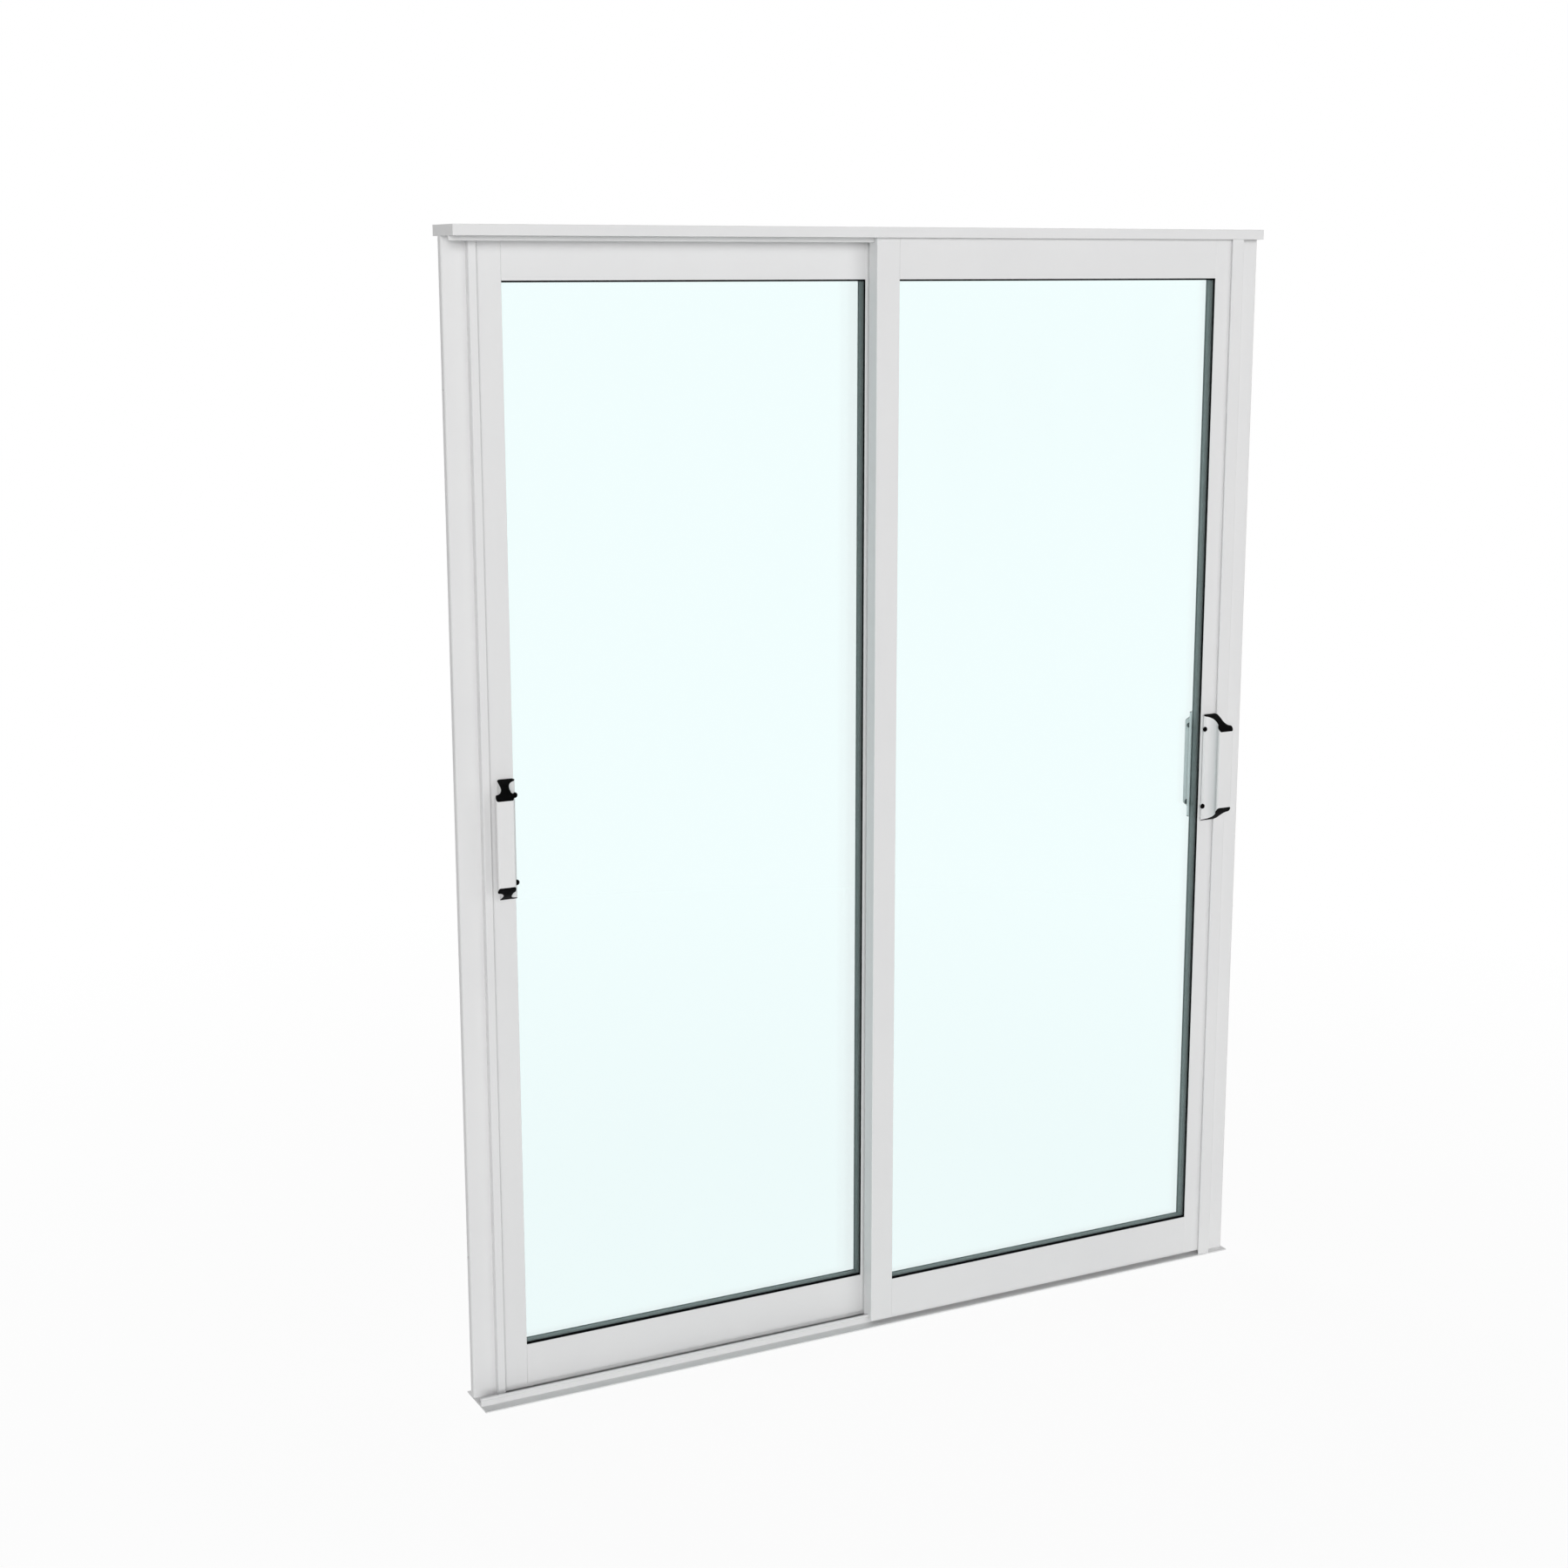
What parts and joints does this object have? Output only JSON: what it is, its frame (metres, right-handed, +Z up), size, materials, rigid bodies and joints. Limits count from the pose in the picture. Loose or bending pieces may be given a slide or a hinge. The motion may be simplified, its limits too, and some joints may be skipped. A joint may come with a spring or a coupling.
{
  "type": "sliding patio door",
  "caption": "White framed sliding patio door with overlapping glazed panels on parallel tracks and bar pulls on both faces.",
  "frame": {"origin": "centre of the sill's underside", "axes": "+X along the door to the right, +Y from the near side through the door, +Z up"},
  "size_m": [1.524, 0.1516, 1.933],
  "materials": {
    "frame": "satin white",
    "sash": "satin white",
    "glass": "clear, faintly cyan",
    "spacer": "matt black",
    "gasket": "matt black",
    "pull": "satin white",
    "cap": "matt black",
    "nylon": "dull grey",
    "steel": "drawn pin",
    "seal": "pile"
  },
  "bodies": {
    "frame": {"head": "frame", "sill": "frame", "left_jamb": "frame", "right_jamb": "frame", "left_meeting_seal": "seal", "left_lock_stile": "sash", "left_meeting_stile": "sash", "left_top_rail": "sash", "left_bottom_rail": "sash", "left_front_pane": "glass", "left_rear_pane": "glass", "left_spacer": "spacer", "left_front_gasket": "gasket", "left_rear_gasket": "gasket", "left_front_pull": "pull", "left_front_pull_caps": "cap", "left_rear_pull": "pull", "left_rear_pull_caps": "cap", "left_rollers": "nylon", "left_axles": "steel", "left_carriers": "steel", "left_top_guides": "nylon"},
    "sliding_panel": {"right_lock_stile": "sash", "right_meeting_stile": "sash", "right_top_rail": "sash", "right_bottom_rail": "sash", "right_front_pane": "glass", "right_rear_pane": "glass", "right_spacer": "spacer", "right_front_gasket": "gasket", "right_rear_gasket": "gasket", "right_front_pull": "pull", "right_front_pull_caps": "cap", "right_rear_pull": "pull", "right_rear_pull_caps": "cap", "right_rollers": "nylon", "right_axles": "steel", "right_carriers": "steel", "right_top_guides": "nylon"}
  },
  "joints": [
    {"name": "panel_slide", "type": "slide", "parent": "frame", "child": "sliding_panel", "axis": [-1, 0, 0], "range_m": [0, 0.652]}
  ]
}
